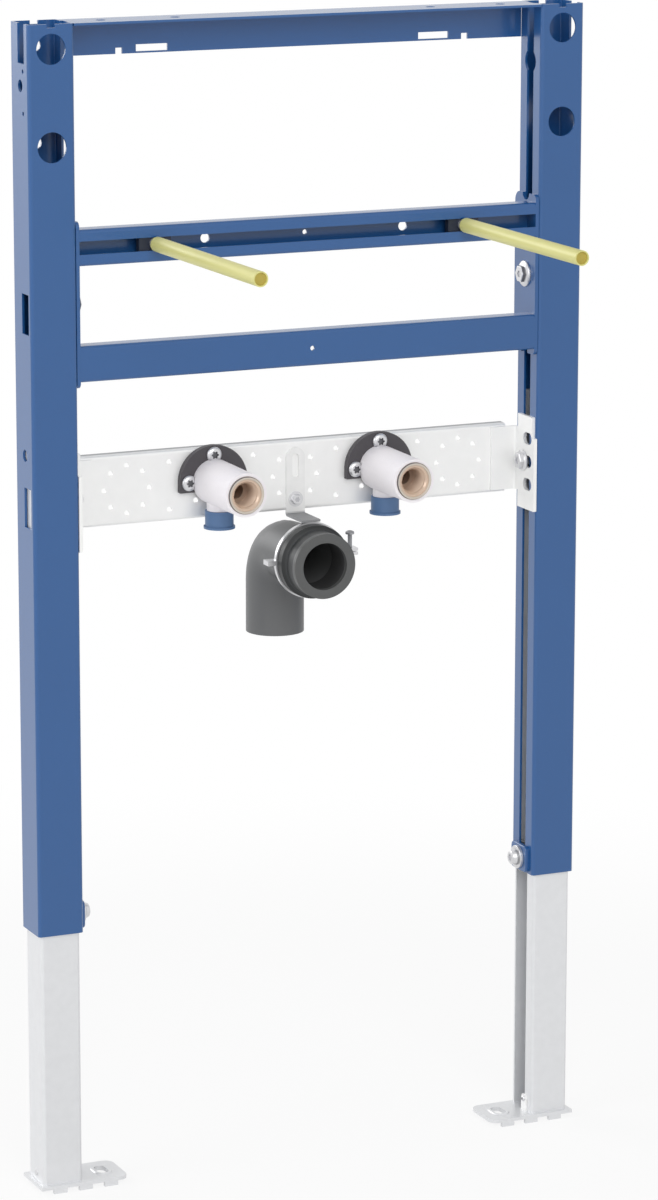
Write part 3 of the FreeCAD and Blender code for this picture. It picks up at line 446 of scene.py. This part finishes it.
def rounded(wide, tall, corner):
    """The outline of a rectangle with rounded corners."""
    inset = Vector((wide / 2 - corner, tall / 2 - corner))

    def reach(angle):
        way = Vector((abs(math.cos(angle)), abs(math.sin(angle))))
        if way.x and way.y * wide / 2 / way.x <= inset.y:
            return wide / 2 / way.x
        if way.y and way.x * tall / 2 / way.y <= inset.x:
            return tall / 2 / way.y
        along = inset.dot(way)
        return along + math.sqrt(along ** 2 - inset.length_squared + corner ** 2)
    return reach


# Mesh building: closed stacks of rings, strips and threads, in metres in the row frame

def pointing(place, direction):
    """The matrix that puts a local Z axis at a place, along a direction."""
    return Matrix.Translation(place) @ Vector(direction).to_track_quat("Z", "Y").to_matrix().to_4x4()


def face_x(low, high, way):
    """X of the side of a box that faces along +X (1) or -X (-1)."""
    return high.x if way > 0 else low.x


def turned(*profile):
    """Round rings from pairs of radius and height."""
    return [(circle(radius), height) for radius, height in profile]


def add_recess(rings, recess, finish_number=RECESS_FINISH):
    """The rings of a head and those of a six-lobe recess, with its own finish of painted shade, that sinks
    into its top.
    """
    top = rings[-1][1]
    outline = lobes(recess.outer, recess.inner)
    return rings + [(outline, top), (outline, top - recess.depth, finish_number)]


def join_loops(mesh, low, high, finish_number=0):
    """Faces between two loops of as many vertices."""
    for step in range(len(low)):
        after = (step + 1) % len(low)
        face = mesh.faces.new((low[step], low[after], high[after], high[step]))
        face.material_index = finish_number


def add_stack(mesh, rings, matrix, hollow=False, finish_number=0):
    """Join rings of (outline, height) one after another, and cap the ends, or join them if hollow.
    A third value in a ring is the number of the piece's finish on the step up to it and on its cap."""
    loops = []
    numbers = []
    for outline, height, *own in rings:
        loop = []
        for step in range(RING_STEPS):
            angle = math.tau * step / RING_STEPS
            radius = outline(angle)
            point = Vector((radius * math.cos(angle), radius * math.sin(angle), height))
            loop.append(mesh.verts.new(matrix @ point))
        loops.append(loop)
        numbers.append(own[0] if own else finish_number)
    if hollow:
        join_loops(mesh, loops[-1], loops[0], numbers[0])
    else:
        mesh.faces.new(loops[0][::-1]).material_index = numbers[0]
        mesh.faces.new(loops[-1]).material_index = numbers[-1]
    for low, high, number in zip(loops, loops[1:], numbers[1:]):
        join_loops(mesh, low, high, number)


def add_strip(mesh, sections):
    """Join equal cross-sections, each a list of points, to one closed strip."""
    loops = [[mesh.verts.new(point) for point in section] for section in sections]
    mesh.faces.new(loops[0][::-1])
    mesh.faces.new(loops[-1])
    for low, high in zip(loops, loops[1:]):
        join_loops(mesh, low, high)


def add_thread(mesh, root, crest, pitch, length, matrix):
    """A helical ridge from a root radius to a crest radius."""
    half = pitch * RIDGE_HALF
    sections = []
    for step in range(int((length - pitch) / pitch * THREAD_STEPS)):
        angle = math.tau * step / THREAD_STEPS
        height = pitch / 2 + pitch * step / THREAD_STEPS
        across = Vector((math.cos(angle), math.sin(angle), 0))
        sections.append([matrix @ (across * radius + Vector((0, 0, height + shift)))
                         for radius, shift in ((root, -half), (crest, 0), (root, half))])
    add_strip(mesh, sections)


def shade_smooth(mesh):
    """Shade smoothly, but keep sharp folds."""
    mesh.normal_update()
    for face in mesh.faces:
        face.smooth = True
    for edge in mesh.edges:
        edge.smooth = edge.calc_face_angle(0) <= SHARP_FOLD


def finish_piece(name, mesh, body, slot, *finishes, smooth=True, stands_for=None):
    """Turn a mesh into a piece of the object that rides on a body."""
    bmesh.ops.recalc_face_normals(mesh, faces=mesh.faces)
    if smooth:
        shade_smooth(mesh)
    data = bpy.data.meshes.new(name)
    mesh.to_mesh(data)
    mesh.free()
    for look in finishes:
        data.materials.append(MATERIALS[look])
    piece = bpy.data.objects.new(name, data)
    scene.collection.objects.link(piece)
    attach(piece, body)
    if stands_for:
        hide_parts(stands_for)


# Screws and leg clamps in place of the plain solids

def hex_head(foot):
    """A hexagon head on a conical flange; its flanks have their own finish, which is painted shade on the
    joint bolts.
    """
    top = foot + HEAD_HIGH
    return [(circle(FLANGE_TOP_RADIUS), foot + FLANGE_RISE), (hexagon(HEX_FLATS), foot + FLANGE_RISE),
            (hexagon(HEX_FLATS), top - HEX_CHAMFER_HIGH, FLANK_FINISH), (hexagon(HEX_TOP_FLATS), top)]


def button_head(foot):
    """A domed head; the lower part of its flank has its own finish, a darker grey as painted shade."""
    flank = [(circle(BUTTON_RADIUS), foot), (circle(BUTTON_RADIUS), foot + BUTTON_FLANK, FLANK_FINISH)]
    return flank + turned(*((radius, foot + height) for radius, height in BUTTON_DOME))


def frame_screw(node, head, flank, lift=0.0, washer=None, washer_thick=WASHER_THICK):
    """A screw on the slot side: plain shank, chamfered washer, and a head with a six-lobe recess.
    Lift raises its seat above the solid's, and washer is a radius other than the solid's. Flank is the
    finish of the head's flank, painted shade on the joint bolts and the clamp screws; the recess is a paler
    painted shade."""
    low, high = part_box(node)
    inward = -1 if low.x > 0 else 1
    seat = face_x(low, high, inward) - inward * (WASHER_THICK + HEAD_HIGH - lift)
    shank = abs(seat - face_x(low, high, -inward))
    washer = washer or (high.y - low.y) / 2
    rings = turned((BOLT_RADIUS, -shank), (BOLT_RADIUS, 0), (washer - WASHER_SOFT, 0), (washer, WASHER_SOFT),
                   (washer, washer_thick - WASHER_SOFT), (washer - WASHER_SOFT, washer_thick))
    rings = add_recess(rings + head(washer_thick), FRAME_RECESS)
    place = (low + high) / 2
    place.x = seat
    mesh = bmesh.new()
    add_stack(mesh, rings, pointing(place, (inward, 0, 0)))
    finish_piece(node + "_shaped", mesh, "frame", "zinc_screws", "zinc_screws", "recess_pale_shade", flank,
                 stands_for=node)


def leg_clamp(side):
    """The small plate that presses on the leg, and its screw, which stands further out than the others."""
    node = side + "_leg_clamp"
    screw = side + "_clamp_screw"
    low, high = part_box(node)
    screw_low, screw_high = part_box(screw)
    inward = -1 if low.x > 0 else 1
    place = (screw_low + screw_high) / 2
    place.x = face_x(low, high, -inward)
    plate = rounded(CLAMP_WIDE, CLAMP_TALL, CLAMP_ROUND)
    face = rounded(CLAMP_WIDE - CLAMP_SOFT * 2, CLAMP_TALL - CLAMP_SOFT * 2, CLAMP_ROUND - CLAMP_SOFT)
    hole = circle(BOLT_RADIUS + CLAMP_HOLE_PLAY)
    rings = [(plate, 0), (plate, CLAMP_THICK - CLAMP_SOFT), (face, CLAMP_THICK),
             (hole, CLAMP_THICK), (hole, 0)]
    mesh = bmesh.new()
    add_stack(mesh, rings, Matrix.Translation(place) @ LIES_ACROSS[inward], hollow=True)
    finish_piece(node + "_shaped", mesh, "frame", "frame_blue", "frame_blue", stands_for=node)
    # The clamp screw's lower flank in screw_grey is painted shade
    frame_screw(screw, button_head, "screw_grey", CLAMP_THICK - (high.x - low.x), CLAMP_WASHER_RADIUS,
                CLAMP_WASHER_THICK)


def flange_screws(side):
    """Three pan heads with a six-lobe recess on a tap flange."""
    node = side + "_flange_screws"
    low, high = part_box(node)
    top_screw = ((low.x + high.x) / 2, high.z - PAN_RADIUS)
    low_screws = [(x, low.z + PAN_RADIUS) for x in (low.x + PAN_RADIUS, high.x - PAN_RADIUS)]
    rings = add_recess(turned(*PAN_PROFILE), PAN_RECESS)
    mesh = bmesh.new()
    for x, z in (top_screw, *low_screws):
        add_stack(mesh, rings, pointing(Vector((x, high.y, z)), (0, -1, 0)))
    finish_piece(node + "_shaped", mesh, "frame", "zinc_screws", "zinc_screws", "recess_shade",
                 stands_for=node)


def add_arm_screw(mesh, high):
    """The arm's hexagon screw with its washer, at the top of the screws' box."""
    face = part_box("mounting_plate")[0].y - ARM_SHEET
    place = Vector((0, face, high.z - ARM_WASHER_RADIUS))
    top = ARM_WASHER_THICK + ARM_HEAD_HIGH
    rings = turned((EAR_SCREW_RADIUS, face - high.y), (EAR_SCREW_RADIUS, 0), (ARM_WASHER_RADIUS, 0),
                   (ARM_WASHER_RADIUS, ARM_WASHER_THICK))
    rings += [(hexagon(ARM_HEX_FLATS), ARM_WASHER_THICK),
              (hexagon(ARM_HEX_FLATS), top - ARM_HEX_CHAMFER_HIGH),
              (circle(ARM_TOP_RADIUS), top)]
    rings = add_recess(rings, ARM_RECESS, ARM_RECESS_FINISH)
    add_stack(mesh, rings, pointing(place, (0, -1, 0)), finish_number=ARM_FINISH)


def add_ear_screw(mesh, low, high):
    """The long threaded screw of the pipe clamp, at the lower right of the screws' box."""
    place = Matrix.Translation((high.x - EAR_HEAD_RADIUS, low.y + EAR_HEAD_RADIUS, low.z))
    shoulder = EAR_SCREW_HIGH - EAR_HEAD_HIGH
    rings = turned((EAR_TIP_RADIUS, 0), (EAR_CORE_RADIUS, EAR_TIP_HIGH), (EAR_CORE_RADIUS, shoulder),
                   (EAR_HEAD_RADIUS, shoulder), (EAR_HEAD_RADIUS, EAR_SCREW_HIGH - EAR_CHAMFER_HIGH),
                   (EAR_TOP_RADIUS, EAR_SCREW_HIGH))
    add_stack(mesh, add_recess(rings, EAR_RECESS), place)
    add_thread(mesh, EAR_THREAD_ROOT, EAR_SCREW_RADIUS, EAR_THREAD_PITCH, shoulder, place)


def drain_clamp_screws():
    """The arm's screw and the pipe clamp's screw, which are one node."""
    node = "drain_clamp_screws"
    low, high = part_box(node)
    mesh = bmesh.new()
    add_arm_screw(mesh, high)
    add_ear_screw(mesh, low, high)
    finish_piece(node + "_shaped", mesh, "frame", "zinc_screws", "screw_grey", "recess_shade", "zinc_screws",
                 "recess_pale_shade", stands_for=node)


# Tap elbows, studs and drain

def tap_details(side):
    """The thread in a tap socket and the ring that closes its insulation, with painted shade on the ring's
    outer flank.
    """
    low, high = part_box(side + "_tap_socket")
    mouth = Vector(((low.x + high.x) / 2, low.y, high.z - SOCKET_RADIUS))
    into = pointing(mouth, (0, 1, 0))
    mesh = bmesh.new()
    add_thread(mesh, SOCKET_THREAD_ROOT, SOCKET_THREAD_CREST, SOCKET_THREAD_PITCH, SOCKET_THREAD,
               into @ Matrix.Translation((0, 0, SOCKET_MOUTH)))
    finish_piece(side + "_tap_thread", mesh, "frame", "gunmetal", "gunmetal")
    inner = END_RING_RADIUS - END_RING_WIDE
    rings = turned((inner, END_RING_SUNK), (inner, END_RING_ROUND - END_RING_PROUD),
                   (inner + END_RING_ROUND, -END_RING_PROUD),
                   (END_RING_RADIUS - END_RING_ROUND, -END_RING_PROUD))
    # Painted shade on the ring's outer flank
    rings.append((circle(END_RING_RADIUS), END_RING_SUNK, END_RING_SHADE_FINISH))
    mesh = bmesh.new()
    add_stack(mesh, rings, into, hollow=True)
    finish_piece(side + "_tap_end_ring", mesh, "frame", "gunmetal", "ring_beige", "recess_shade")


def shaded_sleeve_end(side):
    """A web inside the open end of a stud sleeve, darker as painted shade in the bore."""
    low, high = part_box(side + "_stud_sleeve")
    place = (low + high) / 2
    place.y = low.y + SLEEVE_WEB_IN
    rings = turned((STUD_BORE_RADIUS, 0), (STUD_BORE_RADIUS, SLEEVE_WEB_THICK))
    mesh = bmesh.new()
    add_stack(mesh, rings, pointing(place, (0, 1, 0)))
    finish_piece(side + "_shaded_sleeve_end", mesh, "frame", "sleeve_yellow", "shaded_sleeve_end")


def clamp_lining():
    """The rubber lining that shows behind the pipe clamp."""
    low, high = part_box("drain_clamp")
    place = Vector((0, low.y + BAND_WIDE, (low.z + high.z) / 2))
    inner = PIPE_RADIUS + LINING_PLAY
    outer = PIPE_RADIUS + LINING_THICK
    rings = turned((inner, LINING_PLAY), (outer, LINING_PLAY), (outer - LINING_CHAMFER, LINING_PAST),
                   (inner, LINING_PAST))
    mesh = bmesh.new()
    add_stack(mesh, rings, pointing(place, (0, 1, 0)), hollow=True)
    finish_piece("clamp_lining", mesh, "frame", "seal_black", "seal_black")


def drain_seam():
    """The mould seam along the outside of the bend, from the pipe's end to the clamp."""
    low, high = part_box("drain_bend")
    clamp_low, clamp_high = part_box("drain_clamp")
    axis = (clamp_low.z + clamp_high.z) / 2
    turn = Vector((0, high.y - PIPE_RADIUS - BEND_RADIUS, axis - BEND_RADIUS))
    path = [(Vector((0, high.y, low.z + SEAM_END)), Vector((0, 1, 0)))]
    for step in range(BEND_STEPS + 1):
        angle = math.pi / 2 * step / BEND_STEPS
        out = Vector((0, math.cos(angle), math.sin(angle)))
        path.append((turn + out * (BEND_RADIUS + PIPE_RADIUS), out))
    path.append((Vector((0, clamp_high.y + SEAM_END, axis + PIPE_RADIUS)), Vector((0, 0, 1))))
    section = ((-SEAM_HALF, -SEAM_SUNK), (-SEAM_TOP_HALF, SEAM_PROUD), (SEAM_TOP_HALF, SEAM_PROUD),
               (SEAM_HALF, -SEAM_SUNK))
    mesh = bmesh.new()
    add_strip(mesh, [[point + Vector((across, 0, 0)) + out * rise for across, rise in section]
                     for point, out in path])
    finish_piece("drain_seam", mesh, "frame", "drain_grey", "drain_grey", smooth=False)


# Feet

def obround(radius):
    """Points round the floor screw slot at a distance from its middle line."""
    straight = FOOT_SLOT_LONG - FOOT_SLOT_WIDE
    points = []
    for step in range(RING_STEPS):
        angle = math.tau * (step + 0.5) / RING_STEPS
        shift = straight / 2 if math.sin(angle) > 0 else -straight / 2
        points.append((radius * math.cos(angle), radius * math.sin(angle) + shift))
    return points


def foot_slot_rim(side, outward):
    """The raised rim round the floor screw slot."""
    low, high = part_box(side + "_foot_plate")
    slot = Vector((face_x(low, high, -outward) + outward * FOOT_SLOT_IN, (low.y + high.y) / 2, high.z))
    inside = FOOT_SLOT_WIDE / 2
    mesh = bmesh.new()
    loops = []
    for radius, height in ((inside, -RIM_SUNK), (inside, RIM_PROUD), (inside + RIM_TOP_WIDE, RIM_PROUD),
                           (inside + RIM_WIDE, -RIM_SUNK)):
        loops.append([mesh.verts.new(slot + Vector((x, y, height))) for x, y in obround(radius)])
    for lower, upper in zip(loops, loops[1:] + loops[:1]):
        join_loops(mesh, lower, upper)
    finish_piece(side + "_foot_slot_rim", mesh, side + "_leg", "galvanised", "galvanised")


def tab_place(side, outward):
    """The middle of the foot of the tab, on the leg's slot side and past the end of its lip."""
    low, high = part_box(side + "_leg")
    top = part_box(side + "_foot_plate")[1].z
    return Vector((face_x(low, high, -outward), low.y + LEG_LIP + TAB_PAST - TAB_RADIUS, top))


def foot_tab(side, outward):
    """The tab that stands on the foot plate, with a round upper end."""
    place = tab_place(side, outward)
    outline = [(-TAB_RADIUS, 0), (TAB_RADIUS, 0)]
    for step in range(TAB_STEPS + 1):
        angle = math.pi * step / TAB_STEPS
        outline.append((TAB_RADIUS * math.cos(angle), TAB_ROUND_RISE + TAB_RADIUS * math.sin(angle)))
    mesh = bmesh.new()
    add_strip(mesh, [[place + Vector((-outward * depth, across, rise)) for across, rise in outline]
                     for depth in (0, TAB_THICK)])
    finish_piece(side + "_foot_tab", mesh, side + "_leg", "galvanised", "plate_zinc", smooth=False)


def foot_screws(side, outward):
    """The screw in the tab, and the rivet on the outer side of the leg."""
    low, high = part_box(side + "_leg")
    foot_low, foot_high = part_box(side + "_foot_plate")
    screw = tab_place(side, outward) + Vector((-outward * TAB_THICK, 0, TAB_ROUND_RISE))
    screw_rings = add_recess(turned(*TAB_SCREW_PROFILE), TAB_RECESS)
    rivet = Vector((face_x(low, high, outward), (foot_low.y + foot_high.y) / 2, foot_high.z + RIVET_RISE))
    mesh = bmesh.new()
    add_stack(mesh, screw_rings, pointing(screw, (-outward, 0, 0)))
    add_stack(mesh, turned(*RIVET_PROFILE), pointing(rivet, (outward, 0, 0)))
    finish_piece(side + "_foot_screws", mesh, side + "_leg", "zinc_screws", "zinc_screws", "recess_shade")


# The studio

def make_camera():
    """A camera with the photograph's view."""
    data = bpy.data.cameras.new("camera")
    data.sensor_width = SENSOR
    data.lens = LENS
    camera = bpy.data.objects.new("camera", data)
    ahead = Vector((math.sin(CAMERA_HEADING) * math.cos(CAMERA_FALL),
                    math.cos(CAMERA_HEADING) * math.cos(CAMERA_FALL),
                    -math.sin(CAMERA_FALL)))
    camera.location = CAMERA_PLACE
    camera.rotation_mode = "QUATERNION"
    camera.rotation_quaternion = ahead.to_track_quat("-Z", "Y") @ Quaternion((0, 0, 1), CAMERA_ROLL)
    scene.collection.objects.link(camera)
    scene.camera = camera


def seen_rays(tree):
    """1 for rays that show the background: camera, glossy and transmission rays."""
    path = tree.nodes.new("ShaderNodeLightPath")
    seen = path.outputs["Is Camera Ray"]
    for ray in ("Is Glossy Ray", "Is Transmission Ray"):
        seen = combine(tree, "MAXIMUM", seen, path.outputs[ray])
    return seen


def white_glow(tree, kind, strength=1.0):
    """The output of a white Background or Emission node."""
    glow = tree.nodes.new(kind)
    glow.inputs["Color"].default_value = WHITE
    glow.inputs["Strength"].default_value = strength
    return glow.outputs[0]


def mix_shaders(tree, share, first, second):
    """The output of a Mix Shader node: the second shader by a share, and the first for the rest."""
    mix = tree.nodes.new("ShaderNodeMixShader")
    for socket, source in zip(mix.inputs, (share, first, second)):
        tree.links.new(source, socket)
    return mix.outputs[0]


def make_world():
    """A surround that looks white and gives a softer fill."""
    scene.world = bpy.data.worlds.new("surround")
    scene.world.use_nodes = True
    tree = scene.world.node_tree
    tree.nodes.clear()
    fill = white_glow(tree, "ShaderNodeBackground", FILL_STRENGTH)
    white = white_glow(tree, "ShaderNodeBackground")
    output = tree.nodes.new("ShaderNodeOutputWorld")
    tree.links.new(mix_shaders(tree, seen_rays(tree), fill, white), output.inputs["Surface"])


def floor_material():
    """A white floor: lit white with the shadow of the feet near the frame, and even white further away."""
    material = bpy.data.materials.new("floor_white")
    material.use_nodes = True
    tree = material.node_tree
    tree.nodes.clear()
    lit = tree.nodes.new("ShaderNodeBsdfDiffuse")
    lit.inputs["Color"].default_value = FLOOR_COLOUR
    place = tree.nodes.new("ShaderNodeTexCoord")
    away = tree.nodes.new("ShaderNodeVectorMath")
    away.operation = "LENGTH"
    tree.links.new(place.outputs["Object"], away.inputs[0])
    ramp = tree.nodes.new("ShaderNodeMapRange")
    ramp.interpolation_type = "SMOOTHSTEP"
    ramp.inputs["From Min"].default_value = FLOOR_NEAR
    ramp.inputs["From Max"].default_value = FLOOR_FAR
    ramp.inputs["To Min"].default_value = FLOOR_SHARE
    ramp.inputs["To Max"].default_value = 1.0
    tree.links.new(away.outputs["Value"], ramp.inputs["Value"])
    share = combine(tree, "MULTIPLY", ramp.outputs["Result"], seen_rays(tree))
    glow = white_glow(tree, "ShaderNodeEmission")
    output = tree.nodes.new("ShaderNodeOutputMaterial")
    tree.links.new(mix_shaders(tree, share, lit.outputs[0], glow), output.inputs["Surface"])
    return material


def make_floor():
    """The floor that the feet stand on."""
    data = bpy.data.meshes.new("floor")
    corners = [(-FLOOR_HALF, -FLOOR_HALF, 0), (FLOOR_HALF, -FLOOR_HALF, 0),
               (FLOOR_HALF, FLOOR_HALF, 0), (-FLOOR_HALF, FLOOR_HALF, 0)]
    data.from_pydata(corners, [], [(0, 1, 2, 3)])
    data.materials.append(floor_material())
    floor = bpy.data.objects.new("floor", data)
    floor.location = (0, 0, FLOOR)
    scene.collection.objects.link(floor)


def make_lamps():
    """A broad key from the front, a softer lamp from the left and a rim from behind on the left."""
    for name, (place, size, power) in LAMPS.items():
        data = bpy.data.lights.new(name, "AREA")
        data.shape = "DISK"
        data.size = size
        data.energy = power
        lamp = bpy.data.objects.new(name, data)
        lamp.location = place
        lamp.rotation_mode = "QUATERNION"
        lamp.rotation_quaternion = (LAMP_AIM - Vector(place)).to_track_quat("-Z", "Y")
        scene.collection.objects.link(lamp)


scene.view_settings.view_transform = "Standard"
MATERIALS = make_materials()
make_camera()
make_world()
make_floor()
make_lamps()
dress_solids()
for side, outward in SIDES.items():
    leg_clamp(side)
    # The joint bolt's flanks in recess_shade are painted shade
    frame_screw(side + "_joint_bolt", hex_head, "recess_shade")
    frame_screw(side + "_bracket_screw", hex_head, "zinc_screws")
    flange_screws(side)
    tap_details(side)
    shaded_sleeve_end(side)
    foot_slot_rim(side, outward)
    foot_tab(side, outward)
    foot_screws(side, outward)
drain_clamp_screws()
clamp_lining()
drain_seam()
